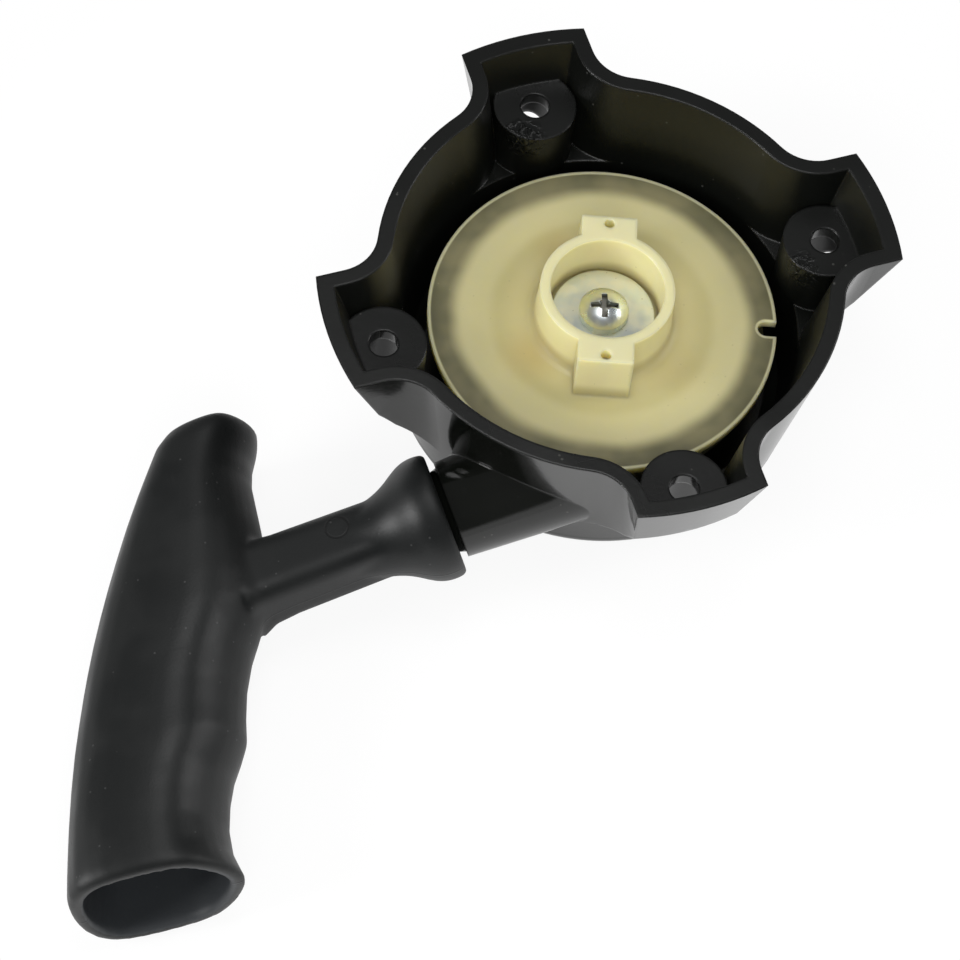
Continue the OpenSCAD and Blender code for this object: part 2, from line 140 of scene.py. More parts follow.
def feed(tree, value, socket):
    if isinstance(value, (int, float)):
        socket.default_value = value
    elif isinstance(value, tuple):
        socket.default_value = (*value, 1)
    else:
        tree.links.new(value, socket)


def math_node(tree, operation, *values):
    node = add_node(tree, "ShaderNodeMath", operation=operation)
    for socket, value in zip(node.inputs, values):
        feed(tree, value, socket)
    return node.outputs[0]


def scaled(tree, value, share):
    return math_node(tree, "MULTIPLY", value, share)


def vector_node(tree, operation, *values):
    node = add_node(tree, "ShaderNodeVectorMath", operation=operation)
    for socket, value in zip(node.inputs, values):
        if isinstance(value, (tuple, Vector)):
            socket.default_value = value
        else:
            tree.links.new(value, socket)
    return node.outputs["Vector" if operation == "MULTIPLY" else "Value"]


def sides_of(tree, place):
    node = add_node(tree, "ShaderNodeSeparateXYZ")
    tree.links.new(place, node.inputs[0])
    return node.outputs


def from_sides(tree, **sides):
    node = add_node(tree, "ShaderNodeCombineXYZ")
    for side, value in sides.items():
        tree.links.new(value, node.inputs[side])
    return node.outputs[0]


def map_range(tree, value, low, high, to_low=0.0, to_high=1.0, smooth=True):
    node = add_node(tree, "ShaderNodeMapRange",
                    interpolation_type="SMOOTHSTEP" if smooth else "LINEAR")
    tree.links.new(value, node.inputs["Value"])
    for name, number in (("From Min", low), ("From Max", high),
                         ("To Min", to_low), ("To Max", to_high)):
        node.inputs[name].default_value = number
    return node.outputs["Result"]


def mix_colour(tree, factor, first, second):
    node = add_node(tree, "ShaderNodeMix", data_type="RGBA")
    factor_in, first_in, second_in = (node.inputs[i] for i in (0, 6, 7))
    feed(tree, factor, factor_in)
    feed(tree, first, first_in)
    feed(tree, second, second_in)
    return node.outputs[2]


def mix_shader(tree, factor, first, second):
    node = add_node(tree, "ShaderNodeMixShader")
    for value, socket in zip((factor, first.outputs[0], second.outputs[0]), node.inputs):
        tree.links.new(value, socket)
    return node


def in_gloss(tree, path):
    return math_node(tree, "MAXIMUM", path.outputs["Is Glossy Ray"],
                     path.outputs["Is Transmission Ray"])


def floor_finish():
    mat = bpy.data.materials.new("pale_floor")
    mat.use_nodes = True
    tree = mat.node_tree
    tree.nodes.clear()
    matt = add_node(tree, "ShaderNodeBsdfDiffuse")
    matt.inputs["Color"].default_value = FLOOR_TONE
    path = add_node(tree, "ShaderNodeLightPath")
    seen = math_node(tree, "MAXIMUM", scaled(tree, path.outputs["Is Camera Ray"], FLOOR_STRAIGHT),
                     scaled(tree, in_gloss(tree, path), FLOOR_IN_GLOSS))
    lit = mix_shader(tree, seen, matt, add_node(tree, "ShaderNodeEmission"))
    place = add_node(tree, "ShaderNodeTexCoord").outputs["Object"]
    fade = map_range(tree, vector_node(tree, "LENGTH", place), *FLOOR_FADE)
    under = add_node(tree, "ShaderNodeNewGeometry").outputs["Backfacing"]
    edge = mix_shader(tree, math_node(tree, "MAXIMUM", fade, under), lit,
                      add_node(tree, "ShaderNodeBsdfTransparent"))
    out = add_node(tree, "ShaderNodeOutputMaterial")
    tree.links.new(edge.outputs[0], out.inputs[0])
    return mat


def make_floor():
    mesh = bpy.data.meshes.new("pale_floor")
    shape = bmesh.new()
    bmesh.ops.create_circle(shape, cap_ends=True, radius=FLOOR_R, segments=FLOOR_SIDES)
    shape.to_mesh(mesh)
    shape.free()
    floor = bpy.data.objects.new("pale_floor", mesh)
    lean = Vector(FLOOR_UP).normalized().to_track_quat("Z", "Y").to_matrix().to_4x4()
    floor.matrix_world = Matrix.Translation(Vector(FLOOR_AT) * MM) @ lean
    scene.collection.objects.link(floor)
    mesh.materials.append(floor_finish())


def make_world():
    world = bpy.data.worlds.new("white_studio")
    world.use_nodes = True
    tree = world.node_tree
    tree.nodes.clear()
    path = add_node(tree, "ShaderNodeLightPath")
    height = sides_of(tree, add_node(tree, "ShaderNodeTexCoord").outputs["Generated"])["Z"]
    ceiling = map_range(tree, height, *HORIZON, SKY_LOW, SKY_HIGH)
    dim = math_node(tree, "MULTIPLY", in_gloss(tree, path), ceiling)
    shown = math_node(tree, "MAXIMUM", dim, path.outputs["Is Camera Ray"])
    plain = scaled(tree, path.outputs["Is Diffuse Ray"], SKY_FILL)
    sky = add_node(tree, "ShaderNodeBackground")
    sky.inputs["Color"].default_value = (1, 1, 1, 1)
    tree.links.new(math_node(tree, "MAXIMUM", shown, plain), sky.inputs["Strength"])
    out = add_node(tree, "ShaderNodeOutputWorld")
    tree.links.new(sky.outputs[0], out.inputs[0])
    scene.world = world


def soft_light(name, turn, tilt, size, power, mirrored):
    lamp = bpy.data.lights.new(name, "AREA")
    lamp.shape = "DISK"
    lamp.size = size
    lamp.energy = power
    light = bpy.data.objects.new(name, lamp)
    a, e = math.radians(turn), math.radians(tilt)
    way = Vector((math.cos(a) * math.cos(e), math.sin(a) * math.cos(e), math.sin(e)))
    light.location = way * LIGHT_FAR
    light.visible_glossy = mirrored
    light.rotation_euler = way.to_track_quat("Z", "Y").to_euler()
    scene.collection.objects.link(light)


place_camera()
make_floor()
make_world()
for soft_box in SOFT_LIGHTS:
    soft_light(*soft_box)


# Effects shared by several finishes

NOISE_ROUGHNESS = 0.55
NOISE_RANGE = (0.2, 0.8)
PATCH_EDGE = (0.35, 0.65)
SPECKS_KEPT = (0.72, 0.74)
SCRATCH_LONG, SCRATCH_FINE = 90.0, 1500.0
SCRATCH_EDGE = (0.66, 0.8)
BEVEL_SAMPLES = 6
UP_EDGE = (0.9, 0.98)
IN_EDGE = (0.004, -0.004)


def new_group(name, inputs, outputs):
    group = bpy.data.node_groups.new(name, "ShaderNodeTree")
    for label, value in inputs:
        socket = group.interface.new_socket(label, in_out="INPUT", socket_type="NodeSocketFloat")
        socket.default_value = value
    for label in outputs:
        group.interface.new_socket(label, in_out="OUTPUT", socket_type="NodeSocketFloat")
    return group, add_node(group, "NodeGroupInput"), add_node(group, "NodeGroupOutput")


def object_place(tree, stretch=None):
    place = add_node(tree, "ShaderNodeTexCoord").outputs["Object"]
    if stretch is None:
        return place
    node = add_node(tree, "ShaderNodeMapping")
    node.inputs["Scale"].default_value = stretch
    tree.links.new(place, node.inputs["Vector"])
    return node.outputs[0]


def noise(tree, place, scale, detail):
    node = add_node(tree, "ShaderNodeTexNoise")
    tree.links.new(place, node.inputs["Vector"])
    feed(tree, scale, node.inputs["Scale"])
    node.inputs["Detail"].default_value = detail
    node.inputs["Roughness"].default_value = NOISE_ROUGHNESS
    return node.outputs["Fac"]


def make_mould_skin():
    group, given, result = new_group(
        "mould_skin", [("Grain per Metre", 1500.0), ("Patch per Metre", 60.0)],
        ["Height", "Patches"])
    place = object_place(group)
    grain = noise(group, place, given.outputs["Grain per Metre"], detail=4.0)
    group.links.new(grain, result.inputs["Height"])
    patches = noise(group, place, given.outputs["Patch per Metre"], detail=2.0)
    group.links.new(map_range(group, patches, *PATCH_EDGE), result.inputs["Patches"])
    return group


def make_handling_marks():
    group, given, result = new_group(
        "handling_marks", [("Specks per Metre", 420.0), ("Speck Size", 0.12)],
        ["Dust", "Scratches"])
    specks = add_node(group, "ShaderNodeTexVoronoi")
    group.links.new(object_place(group), specks.inputs["Vector"])
    group.links.new(given.outputs["Specks per Metre"], specks.inputs["Scale"])
    few = add_node(group, "ShaderNodeTexWhiteNoise")
    group.links.new(specks.outputs["Position"], few.inputs["Vector"])
    chosen = map_range(group, few.outputs["Value"], *SPECKS_KEPT)
    near = math_node(group, "LESS_THAN", specks.outputs["Distance"], given.outputs["Speck Size"])
    group.links.new(math_node(group, "MULTIPLY", near, chosen), result.inputs["Dust"])
    along = object_place(group, (SCRATCH_LONG, SCRATCH_FINE, SCRATCH_FINE))
    across = object_place(group, (SCRATCH_FINE, SCRATCH_LONG, SCRATCH_FINE))
    both = math_node(group, "MAXIMUM", noise(group, along, 1.0, detail=2.0),
                     noise(group, across, 1.0, detail=2.0))
    group.links.new(map_range(group, both, *SCRATCH_EDGE), result.inputs["Scratches"])
    return group


MOULD_SKIN = make_mould_skin()
HANDLING_MARKS = make_handling_marks()


def new_material(name):
    mat = bpy.data.materials.new(name)
    mat.use_nodes = True
    return mat, mat.node_tree, mat.node_tree.nodes["Principled BSDF"]


def use_group(tree, group, *values):
    node = add_node(tree, "ShaderNodeGroup", node_tree=group)
    for socket, value in zip(node.inputs, values):
        socket.default_value = value
    return node.outputs


def mould_skin(tree, grain, patch):
    return use_group(tree, MOULD_SKIN, grain, patch)


def handling_marks(tree, specks, size):
    return use_group(tree, HANDLING_MARKS, specks, size)


def dusted(tree, marks, colour, share, dust):
    return mix_colour(tree, scaled(tree, marks["Dust"], share), colour, dust)


def worn_roughness(tree, skin, marks, low, high, scratched):
    rough = map_range(tree, skin["Patches"], 0.0, 1.0, low, high)
    return math_node(tree, "ADD", rough, scaled(tree, marks["Scratches"], scratched))


def bump(tree, shader, height, strength, distance, edge=0.0):
    node = add_node(tree, "ShaderNodeBump")
    node.inputs["Strength"].default_value = strength
    node.inputs["Distance"].default_value = distance
    tree.links.new(height, node.inputs["Height"])
    if edge:
        soft = add_node(tree, "ShaderNodeBevel", samples=BEVEL_SAMPLES)
        soft.inputs["Radius"].default_value = edge * MM
        tree.links.new(soft.outputs[0], node.inputs["Normal"])
    tree.links.new(node.outputs[0], shader.inputs["Normal"])


def height_of(tree):
    return sides_of(tree, object_place(tree))["Z"]


def radius_of(tree):
    place = sides_of(tree, object_place(tree))
    return vector_node(tree, "LENGTH", from_sides(tree, X=place["X"], Y=place["Y"]))


def facing_up(tree):
    normal = add_node(tree, "ShaderNodeTexCoord").outputs["Normal"]
    return map_range(tree, sides_of(tree, normal)["Z"], *UP_EDGE)


def facing_in(tree):
    place = add_node(tree, "ShaderNodeTexCoord").outputs
    flat = vector_node(tree, "MULTIPLY", place["Object"], (1, 1, 0))
    outward = vector_node(tree, "DOT_PRODUCT", flat, place["Normal"])
    return map_range(tree, outward, *IN_EDGE)


def nearest_spot(tree, spots):
    most = None
    for place, reach, strength in spots:
        away = vector_node(tree, "DISTANCE", object_place(tree), Vector(place) * MM)
        near = map_range(tree, away, 0.0, reach * MM, strength, 0.0)
        most = near if most is None else math_node(tree, "MAXIMUM", most, near)
    return most


# Frames of the rope's pull and of the handle, in millimetres

def pull_frame():
    turn = Matrix.Rotation(math.radians(PULL_TURN), 4, "Z")
    bend_x = -math.sqrt(REEL_R ** 2 - COIL_R ** 2)
    tip = Vector((bend_x - SPOUT_LEN * math.cos(SPOUT_DROP), -COIL_R,
                  GROOVE_Z - SPOUT_LEN * math.sin(SPOUT_DROP)))
    drop = Matrix.Rotation(-SPOUT_DROP, 4, "Y") @ Matrix.Rotation(math.pi, 4, "Z")
    return turn, bend_x, turn @ Matrix.Translation(tip) @ drop


TURN, BEND_X, PULL = pull_frame()
HANDLE = PULL @ Matrix.Translation((0, HANDLE_SIDE, 0)) @ Matrix.Rotation(HANDLE_TURN, 4, "X")


# Finishes: heights, radii and edges are in metres, and spots in millimetres

RIM_HEIGHT = (-0.0006, -0.0002)
GLOSS_BLACKS = ((0.0034, 0.0039, 0.0031), (0.0046, 0.0051, 0.0042))
RIM_BLACK = (0.0036, 0.004, 0.0036)
RIM_DULL, INSIDE_DULL = 0.2, 0.25
HOUSING_GRAIN = 0.08
# Shiny moulding flaws beside two bosses: place, reach and strength
BOSS_FLAWS = (((-4.5, 37.0, -1.5), 5.5, 1.0), ((37.0, -4.5, -2.0), 5.0, 0.8))
FLAW_GLOSS, FLAW_HEIGHT = 0.25, 2.6
CHIPS_PER_METRE, CHIP_EDGE = 800.0, (0.48, 0.6)


def housing_finish():
    mat, tree, shader = new_material("gloss_black_moulding")
    skin = mould_skin(tree, grain=900.0, patch=45.0)
    marks = handling_marks(tree, specks=420.0, size=0.1)
    at_rim = map_range(tree, height_of(tree), *RIM_HEIGHT)
    rim = math_node(tree, "MULTIPLY", facing_up(tree), at_rim)
    flawed = nearest_spot(tree, BOSS_FLAWS)
    dark = mix_colour(tree, skin["Patches"], *GLOSS_BLACKS)
    dark = mix_colour(tree, rim, dark, RIM_BLACK)
    dusty = dusted(tree, marks, dark, share=0.35, dust=(0.11, 0.11, 0.1))
    tree.links.new(dusty, shader.inputs["Base Color"])
    worn = worn_roughness(tree, skin, marks, low=0.07, high=0.12, scratched=0.08)
    dull = math_node(tree, "MAXIMUM", scaled(tree, rim, RIM_DULL),
                     scaled(tree, facing_in(tree), INSIDE_DULL))
    rough = math_node(tree, "SUBTRACT", math_node(tree, "ADD", worn, dull),
                      scaled(tree, flawed, FLAW_GLOSS))
    tree.links.new(rough, shader.inputs["Roughness"])
    chips = noise(tree, object_place(tree), CHIPS_PER_METRE, detail=3.0)
    chips = map_range(tree, chips, *CHIP_EDGE)
    flaws = scaled(tree, math_node(tree, "MULTIPLY", flawed, chips), FLAW_HEIGHT)
    raised = math_node(tree, "ADD", scaled(tree, skin["Height"], HOUSING_GRAIN), flaws)
    bump(tree, shader, raised, strength=0.5, distance=0.0003, edge=0.6)
    return mat


# Tones of the reel's face, by the share of its radius; the dark outer band is painted shade of
# the housing's wall, partly the dark rope seen through the flange
REEL_TONES_AND_WALL_SHADE = (
    (0.0, (0.70, 0.66, 0.39)), (0.42, (0.52, 0.455, 0.215)), (0.5, (0.54, 0.48, 0.235)),
    (0.6, (0.5, 0.45, 0.215)), (0.68, (0.57, 0.52, 0.27)), (0.79, (0.56, 0.515, 0.28)),
    (0.9, (0.15, 0.142, 0.076)), (1.0, (0.105, 0.1, 0.052)),
)
TONE_WANDER, WANDERS_PER_METRE = 0.0005, 70.0
# Tan spots on the reel: place, reach and strength; the first, left of the hub, is the hub's
# painted shadow
REEL_HUB_SHADOW_AND_SPOTS = (((-16.0, -4.5, -9.0), 8.0, 0.5), ((-3.0, 17.5, -9.0), 7.0, 0.3),
               ((10.0, -15.0, -9.0), 8.0, 0.16))
SHADOW_AND_SPOT_TAN = (0.42, 0.3, 0.09)
# Pale line on the flange's rim and along the notch's edge: a painted highlight
EDGE_HIGHLIGHT, EDGE_LINE = (0.6, 0.565, 0.33), (0.0322, 0.0326)
NOTCH_TURN, NOTCH_DEPTH, NOTCH_LINE = math.radians(20), 2, (0.0019, 0.00225)
HUB_HEIGHT = (-0.0085, -0.0055)
# Hub and dogs: sides painted lighter and tops painted darker, painted light standing in for how
# the lamps fall on them
HUB_SIDE_PAINTED_LIT, HUB_TOP_PAINTED_DIM = (0.8, 0.74, 0.42), (0.6, 0.57, 0.345)
CLOUD_SHARE, CLOUD_TAN = 0.14, (0.58, 0.5, 0.24)


# Painted highlight along the notch's edge
def notch_highlight(tree):
    turned = add_node(tree, "ShaderNodeVectorRotate", rotation_type="Z_AXIS")
    turned.inputs["Angle"].default_value = NOTCH_TURN
    tree.links.new(object_place(tree), turned.inputs["Vector"])
    place = sides_of(tree, turned.outputs[0])
    inward = math_node(tree, "SUBTRACT", (REEL_R - NOTCH_DEPTH) * MM, place["X"])
    inward = math_node(tree, "MAXIMUM", inward, 0.0)
    away = vector_node(tree, "LENGTH", from_sides(tree, X=inward, Y=place["Y"]))
    return map_range(tree, away, *NOTCH_LINE, 1.0, 0.0)


# Painted shade: the reel's face darkens towards its rim, where the housing's wall shades it
def reel_tones_and_wall_shade(tree, radius):
    wander = noise(tree, object_place(tree), WANDERS_PER_METRE, detail=2.0)
    wander = map_range(tree, wander, *NOISE_RANGE, -TONE_WANDER, TONE_WANDER, smooth=False)
    ramp = add_node(tree, "ShaderNodeValToRGB")
    spread = math_node(tree, "ADD", radius, wander)
    tree.links.new(math_node(tree, "DIVIDE", spread, REEL_R * MM), ramp.inputs[0])
    stops = ramp.color_ramp
    stops.interpolation = "EASE"
    first, *between, last = REEL_TONES_AND_WALL_SHADE
    for stop, (at, tone) in zip(stops.elements, (first, last)):
        stop.position, stop.color = at, (*tone, 1)
    for at, tone in between:
        stops.elements.new(at).color = (*tone, 1)
    return ramp.outputs["Color"]


def reel_finish():
    mat, tree, shader = new_material("natural_nylon")
    skin = mould_skin(tree, grain=700.0, patch=110.0)
    marks = handling_marks(tree, specks=520.0, size=0.09)
    radius = radius_of(tree)
    # Painted highlight on the flange's rim and along the notch's edge
    edge_highlight = math_node(tree, "MAXIMUM", map_range(tree, radius, *EDGE_LINE), notch_highlight(tree))
    flange = mix_colour(tree, edge_highlight, reel_tones_and_wall_shade(tree, radius), EDGE_HIGHLIGHT)
    # Tan spots; the one left of the hub is the hub's painted shadow
    flange = mix_colour(tree, nearest_spot(tree, REEL_HUB_SHADOW_AND_SPOTS), flange, SHADOW_AND_SPOT_TAN)
    # Painted light: the hub's sides lighter, its tops darker
    hub = mix_colour(tree, facing_up(tree), HUB_SIDE_PAINTED_LIT, HUB_TOP_PAINTED_DIM)
    base = mix_colour(tree, map_range(tree, height_of(tree), *HUB_HEIGHT), flange, hub)
    cloudy = mix_colour(tree, scaled(tree, skin["Patches"], CLOUD_SHARE), base, CLOUD_TAN)
    dusty = dusted(tree, marks, cloudy, share=0.3, dust=(0.3, 0.27, 0.16))
    tree.links.new(dusty, shader.inputs["Base Color"])
    rough = worn_roughness(tree, skin, marks, low=0.3, high=0.4, scratched=0.1)
    tree.links.new(rough, shader.inputs["Roughness"])
    shader.inputs["Subsurface Weight"].default_value = 0.7
    shader.inputs["Subsurface Radius"].default_value = (1.0, 0.85, 0.4)
    shader.inputs["Subsurface Scale"].default_value = 0.005
    bump(tree, shader, skin["Height"], strength=0.08, distance=0.0003, edge=1.0)
    return mat


# Top of the screw's cross recess and how fast its painted shade darkens below, in millimetres
SCREW_FACE, SCREW_RECESS_FADE = -5.2, 0.7
SCREW_RECESS_R, SCREW_RECESS_SHADE = 0.0029, (0.34, 0.33, 0.29)


def zinc_finish(name, tone, warm, rough_low, rough_high, pit=None):
    mat, tree, shader = new_material(name)
    skin = mould_skin(tree, grain=1400.0, patch=260.0)
    marks = handling_marks(tree, specks=900.0, size=0.12)
    colour = mix_colour(tree, skin["Patches"], tone, warm)
    colour = dusted(tree, marks, colour, share=0.4, dust=(0.2, 0.19, 0.15))
    if pit is not None:
        # Painted shade in the screw's cross recess
        middle = math_node(tree, "LESS_THAN", radius_of(tree), SCREW_RECESS_R)
        sunk = map_range(tree, height_of(tree), pit * MM, (pit - SCREW_RECESS_FADE) * MM)
        recess_shade = math_node(tree, "MULTIPLY", middle, sunk)
        colour = mix_colour(tree, recess_shade, colour, SCREW_RECESS_SHADE)
    tree.links.new(colour, shader.inputs["Base Color"])
    shader.inputs["Metallic"].default_value = 1.0
    rough = worn_roughness(tree, skin, marks, rough_low, rough_high, scratched=0.14)
    tree.links.new(rough, shader.inputs["Roughness"])
    bump(tree, shader, skin["Height"], strength=0.05, distance=0.0002, edge=0.22)
    return mat


SATIN_BLACKS = ((0.0045, 0.0053, 0.0054), (0.006, 0.0068, 0.0068))
HANDLE_GRAIN = 0.35
# Middle of the hollow grip: its place on the handle's axis, and its lean
GRIP_MIDDLE, GRIP_LEAN = 0.05486, 0.36
# Inside of the hollow grip painted lighter: painted light, standing in for light reaching into
# the hollow
GRIP_MOUTH, GRIP_WALL = (0.016, 0.02), (-0.001, -0.004)
GRIP_HOLLOW_PAINTED_LIGHT = (0.03, 0.033, 0.036)
# Parting seam and the round mark of an ejector pin on the stem
SEAM_LOW, SEAM_EDGE = 0.0009, (0.00022, 0.00008)
EJECTOR = (20.6 * MM, -1.75 * MM, 6.4 * MM)
EJECTOR_R, EJECTOR_EDGE = 0.00215, (0.0003, 0.0001)
EJECTOR_SHARE, EJECTOR_BLACK = 0.7, (0.002, 0.002, 0.002)


def grip_inside(tree, home, local):
    facing = add_node(tree, "ShaderNodeMapping", vector_type="VECTOR")
    facing.inputs["Rotation"].default_value = home.to_euler("XYZ")
    normal = add_node(tree, "ShaderNodeTexCoord").outputs["Normal"]
    tree.links.new(normal, facing.inputs["Vector"])
    middle = math_node(tree, "ADD", scaled(tree, local["Y"], GRIP_LEAN), GRIP_MIDDLE)
    away = from_sides(tree, X=math_node(tree, "SUBTRACT", local["X"], middle), Z=local["Z"])
    outward = vector_node(tree, "DOT_PRODUCT", away, facing.outputs[0])
    return math_node(tree, "MULTIPLY", map_range(tree, outward, *GRIP_WALL),
                     map_range(tree, local["Y"], *GRIP_MOUTH))


def line_at(tree, away, edge):
    return map_range(tree, math_node(tree, "ABSOLUTE", away), *edge)


def handle_finish():
    mat, tree, shader = new_material("satin_black_moulding")
    skin = mould_skin(tree, grain=2200.0, patch=70.0)
    marks = handling_marks(tree, specks=520.0, size=0.1)
    place = add_node(tree, "ShaderNodeMapping")
    home = HANDLE.inverted()
    place.inputs["Rotation"].default_value = home.to_euler("XYZ")
    place.inputs["Location"].default_value = home.translation * MM
    tree.links.new(object_place(tree), place.inputs["Vector"])
    local = sides_of(tree, place.outputs[0])
    seam = line_at(tree, math_node(tree, "ADD", local["Z"], SEAM_LOW), SEAM_EDGE)
    pin = vector_node(tree, "DISTANCE", place.outputs[0], EJECTOR)
    ring = line_at(tree, math_node(tree, "SUBTRACT", pin, EJECTOR_R), EJECTOR_EDGE)
    dark = mix_colour(tree, skin["Patches"], *SATIN_BLACKS)
    dark = mix_colour(tree, scaled(tree, ring, EJECTOR_SHARE), dark, EJECTOR_BLACK)
    # Painted light inside the hollow grip
    dark = mix_colour(tree, grip_inside(tree, home, local), dark, GRIP_HOLLOW_PAINTED_LIGHT)
    dusty = dusted(tree, marks, dark, share=0.3, dust=(0.09, 0.09, 0.09))
    tree.links.new(dusty, shader.inputs["Base Color"])
    shader.inputs["Specular IOR Level"].default_value = 0.4
    rough = worn_roughness(tree, skin, marks, low=0.42, high=0.49, scratched=0.08)
    tree.links.new(rough, shader.inputs["Roughness"])
    raised = math_node(tree, "ADD", scaled(tree, skin["Height"], HANDLE_GRAIN), seam)
    raised = math_node(tree, "SUBTRACT", raised, ring)
    bump(tree, shader, raised, strength=0.3, distance=0.0002, edge=2.2)
    return mat


# Braid: strands around, their climb per metre of rope, and the fibres on them
STRANDS = 8.0
STRAND_CLIMB = 620.0
STRAND_CROWN = 2.5
FIBRES_PER_METRE = 6000.0
FIBRE_HEIGHT = 0.25
FIBRE_TONE, FIBRE_ROUGH = (0.6, 1.0), (0.5, 0.75)
# Braid colour: dark in the grooves between strands and lighter on their crowns, which is painted
# shade, with fibre flecks on top
BRAID_SHADE_TONES = ((0.006, 0.006, 0.0065), (0.032, 0.032, 0.034))


def strand_crown(tree, turns):
    across = scaled(tree, math_node(tree, "FRACT", turns), 2.0)
    across = math_node(tree, "ABSOLUTE", math_node(tree, "SUBTRACT", across, 1.0))
    return math_node(tree, "SUBTRACT", 1.0, math_node(tree, "POWER", across, STRAND_CROWN))


def rope_finish():
    mat, tree, shader = new_material("black_braid")
    around = sides_of(tree, add_node(tree, "ShaderNodeUVMap", uv_map="braid").outputs[0])
    strand = scaled(tree, around["X"], STRANDS)
    climb = scaled(tree, around["Y"], STRAND_CLIMB)
    right_hand = math_node(tree, "ADD", strand, climb)
    left_hand = math_node(tree, "SUBTRACT", strand, climb)
    both = math_node(tree, "ADD", math_node(tree, "FLOOR", right_hand),
                     math_node(tree, "FLOOR", left_hand))
    over = math_node(tree, "FLOORED_MODULO", both, 2.0)
    under = math_node(tree, "SUBTRACT", 1.0, over)
    height = math_node(
        tree, "ADD", math_node(tree, "MULTIPLY", strand_crown(tree, right_hand), over),
        math_node(tree, "MULTIPLY", strand_crown(tree, left_hand), under))
    fibres = noise(tree, object_place(tree), FIBRES_PER_METRE, detail=2.0)
    shade = map_range(tree, fibres, *NOISE_RANGE, *FIBRE_TONE)
    # Painted shade in the grooves between strands, times the fibre flecks
    tone = math_node(tree, "MULTIPLY", height, shade)
    tree.links.new(mix_colour(tree, tone, *BRAID_SHADE_TONES), shader.inputs["Base Color"])
    rough = map_range(tree, fibres, *NOISE_RANGE, *FIBRE_ROUGH)
    tree.links.new(rough, shader.inputs["Roughness"])
    shader.inputs["Sheen Weight"].default_value = 0.15
    raised = math_node(tree, "ADD", height, scaled(tree, fibres, FIBRE_HEIGHT))
    bump(tree, shader, raised, strength=0.7, distance=0.0004)
    return mat


def finish_node(name, mat):
    node = parts[name]
    for slot in node.material_slots:
        slot.material = mat
    return node


SATIN_BLACK = handle_finish()
BRAID = rope_finish()
finish_node("starter_housing", housing_finish())
finish_node("reel", reel_finish())
finish_node("retaining_washer", zinc_finish(
    "zinc_washer_plate", (0.68, 0.73, 0.70), (0.74, 0.74, 0.62), 0.34, 0.42))
finish_node("centre_screw", zinc_finish(
    "zinc_screw_plate", (0.80, 0.87, 0.90), (0.84, 0.88, 0.86), 0.26, 0.36, pit=SCREW_FACE))
finish_node("rope_eyelet", zinc_finish(
    "plated_eyelet", (0.62, 0.62, 0.60), (0.58, 0.56, 0.5), 0.2, 0.32))
finish_node("recoil_spring", zinc_finish(
    "blued_spring_strip", (0.17, 0.18, 0.22), (0.26, 0.22, 0.17), 0.26, 0.4))


# Rope pieces

ROPE_SIDES = 14
STEPS_PER_COIL = 48
STEPS_PER_WRAP = 28
STEPS_IN_KNOT = 10
STEPS_IN_BEND = 8
STEPS_IN_RUN = 160
STEPS_IN_HANDLE = 40
# Shares of the way: from the reel to the bend, and from a knot's core to its wraps and back
STRAIGHT_SHARES = (0.0, 0.25, 0.5, 0.8)
LEAD_IN, LEAD_OUT = (1.0, 0.75, 0.5, 0.25), (0.3, 0.6, 0.9)
CORE_FIT = 1.02


def lengths_along(path):
    lengths = [0.0]
    for a, b in zip(path, path[1:]):
        lengths.append(lengths[-1] + (b - a).length)
    return lengths


def rope_rings(shape, path, radius):
    side = (path[1] - path[0]).normalized().orthogonal().normalized()
    last = len(path) - 1
    turns = [2 * math.pi * j / ROPE_SIDES for j in range(ROPE_SIDES)]
    rings = []
    for i, point in enumerate(path):
        ahead = (path[min(i + 1, last)] - path[max(i - 1, 0)]).normalized()
        side = (side - ahead * side.dot(ahead)).normalized()
        other = ahead.cross(side)
        rings.append([shape.verts.new(
            (point + (side * math.cos(a) + other * math.sin(a)) * radius) * MM) for a in turns])
    return rings


def tube(name, path, radius, lengths=None):
    mesh = bpy.data.meshes.new(name)
    shape = bmesh.new()
    layer = shape.loops.layers.uv.new("braid")
    lengths = lengths or lengths_along(path)
    rings = rope_rings(shape, path, radius)
    for i, (ring, following) in enumerate(zip(rings, rings[1:])):
        for j in range(ROPE_SIDES):
            k = (j + 1) % ROPE_SIDES
            face = shape.faces.new((ring[j], ring[k], following[k], following[j]))
            face.smooth = True
            corners = ((j, i), (j + 1, i), (j + 1, i + 1), (j, i + 1))
            for loop, (u, v) in zip(face.loops, corners):
                loop[layer].uv = (u / ROPE_SIDES, lengths[v] * MM)
    for cap in (rings[0][::-1], rings[-1]):
        for loop in shape.faces.new(cap).loops:
            loop[layer].uv = (0.0, 0.0)
    shape.to_mesh(mesh)
    shape.free()
    mesh.materials.append(BRAID)
    piece = bpy.data.objects.new(name, mesh)
    scene.collection.objects.link(piece)
    return piece


def polar(r, degrees, z=0.0):
    a = math.radians(degrees)
    return Vector((r * math.cos(a), r * math.sin(a), z))


def wound_rope():
    first = COIL_LEAD - 90 + PULL_TURN
    first_r = COIL_R / math.cos(math.radians(COIL_LEAD))
    last = first + 360 * COIL_TURNS
    inward = polar(1, last + TAIL_TURN)
    steps = round(STEPS_PER_COIL * COIL_TURNS)
    path = [polar(COIL_R, PULL_TURN - 90, GROOVE_Z)]
    for i in range(steps + 1):
        r = first_r + (COIL_END_R - first_r) * i / steps
        path.append(polar(r, first + 360 * COIL_TURNS * i / steps, GROOVE_Z))
    tail = polar(COIL_END_R, last, GROOVE_Z) + inward * 2 * ROPE_R
    path.append(tail)
    piece = tube("rope_wound_braid", path, ROPE_R)
    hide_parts("rope_wound")
    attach(piece, "reel")
    return tail, inward


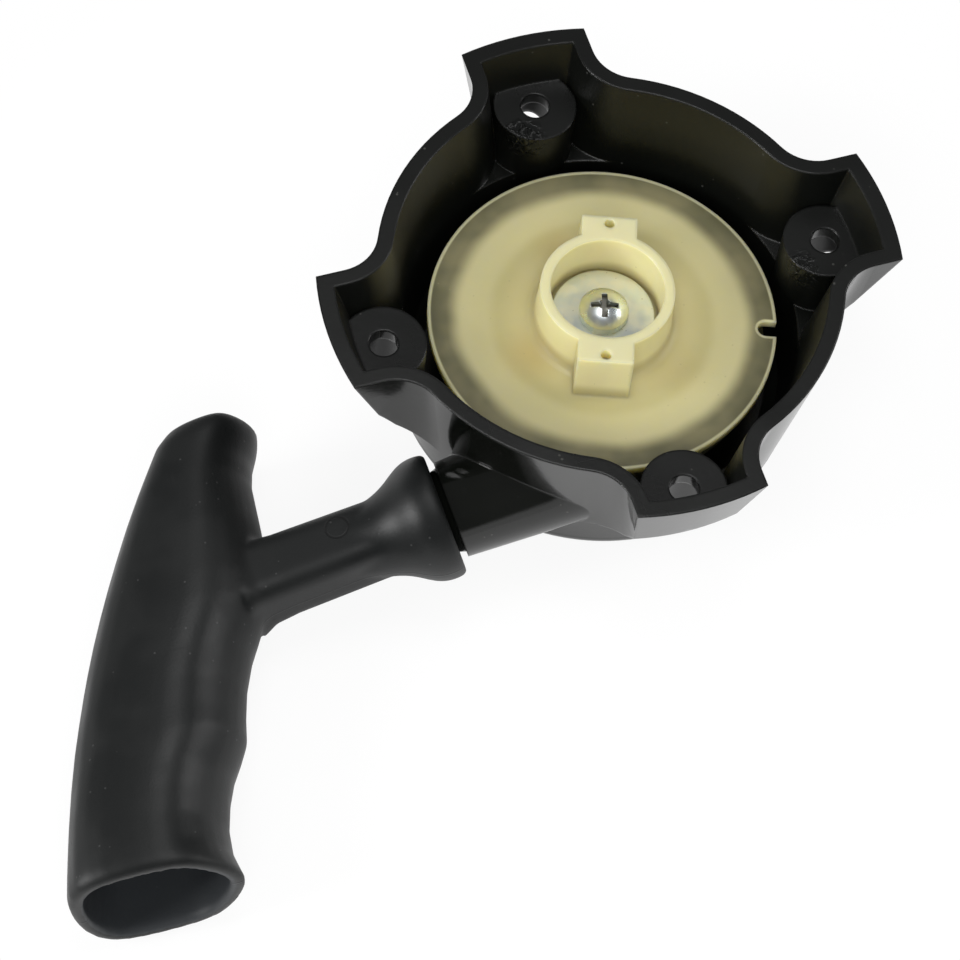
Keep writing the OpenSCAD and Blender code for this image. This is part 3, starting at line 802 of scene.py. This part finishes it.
def knot_turns(name, base, axis, count, length, across, node, body):
    axis = axis.normalized()
    side = axis.orthogonal().normalized()
    other = axis.cross(side)
    r = length / count / 2
    arm = across / 2 - r
    steps = STEPS_PER_WRAP * count
    path = []
    for i in range(steps + 1):
        t = i / steps
        a = 2 * math.pi * count * t
        along = r + (length - 2 * r) * t
        path.append(base + axis * along + (side * math.cos(a) + other * math.sin(a)) * arm)
    start, end = base + axis * r, base + axis * (length - r)
    lead_in = [path[0] * (1 - t) + start * t for t in LEAD_IN]
    lead_out = [path[-1] * (1 - t) + end * t for t in LEAD_OUT]
    inner = [base + axis * (r + (length - 2 * r) * i / STEPS_IN_KNOT)
             for i in range(STEPS_IN_KNOT + 1)]
    wraps = tube(name, lead_in + path + lead_out, r)
    core = tube(name + "_core", inner, min(arm, r * CORE_FIT))
    core.parent = wraps
    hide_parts(node)
    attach(wraps, body)


def running_rope():
    path = [Vector((BEND_X * share, -COIL_R, GROOVE_Z)) for share in STRAIGHT_SHARES]
    run = BEND_R * math.tan(SPOUT_DROP / 2)
    for i in range(STEPS_IN_BEND + 1):
        a = SPOUT_DROP * i / STEPS_IN_BEND
        path.append(Vector((BEND_X + run - BEND_R * math.sin(a), -COIL_R,
                            GROOVE_Z - BEND_R * (1 - math.cos(a)))))
    path = [TURN @ p for p in path]
    start, end = -SPOUT_LEN + SPOUT_ROOT, BELL_GAP
    steps = STEPS_IN_RUN
    bend = len(path)
    path += [PULL @ Vector((start + (end - start) * i / steps, 0, 0)) for i in range(steps + 1)]
    lengths = lengths_along(path)
    for i in range(steps + 1):
        t = i / steps
        lengths[bend + i] += PULL_TRAVEL * t * t * (3 - 2 * t)
    piece = tube("rope_run_braid", path, ROPE_R, lengths)
    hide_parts("rope_run")
    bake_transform(piece)


def held_rope():
    path = [PULL @ Vector((BELL_GAP + (KNOT_SEAT - BELL_GAP) * i / STEPS_IN_HANDLE, 0, 0))
            for i in range(STEPS_IN_HANDLE + 1)]
    lengths = [PULL_TRAVEL + (p - path[0]).length for p in path]
    piece = tube("rope_in_handle_braid", path, ROPE_R, lengths)
    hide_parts("rope_in_handle")
    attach(piece, "rope_end")


tail, inward = wound_rope()
pocket = Vector((tail.x, tail.y, GROOVE_Z - REEL_KNOT_DROP))
knot_turns("reel_knot_wraps", pocket, inward, *REEL_KNOT, "reel_knot", "reel")
running_rope()
held_rope()
seat = PULL @ Vector((KNOT_SEAT, 0, 0))
pull_way = PULL.to_3x3() @ Vector((1, 0, 0))
knot_turns("handle_knot_wraps", seat, pull_way, *HANDLE_KNOT, "handle_knot", "rope_end")


# Handle, with its edges softened

HANDLE_VOXEL = 0.32
HANDLE_SMOOTHING = 0.5
HANDLE_ROUNDS = 16


def smooth_handle():
    node = finish_node("handle", SATIN_BLACK)
    skin = node.modifiers.new("even_skin", "REMESH")
    skin.mode = "VOXEL"
    skin.voxel_size = HANDLE_VOXEL * MM
    skin.use_smooth_shade = True
    soften = node.modifiers.new("soft_edges", "SMOOTH")
    soften.factor = HANDLE_SMOOTHING
    soften.iterations = HANDLE_ROUNDS


smooth_handle()
scene.view_settings.view_transform = "Standard"
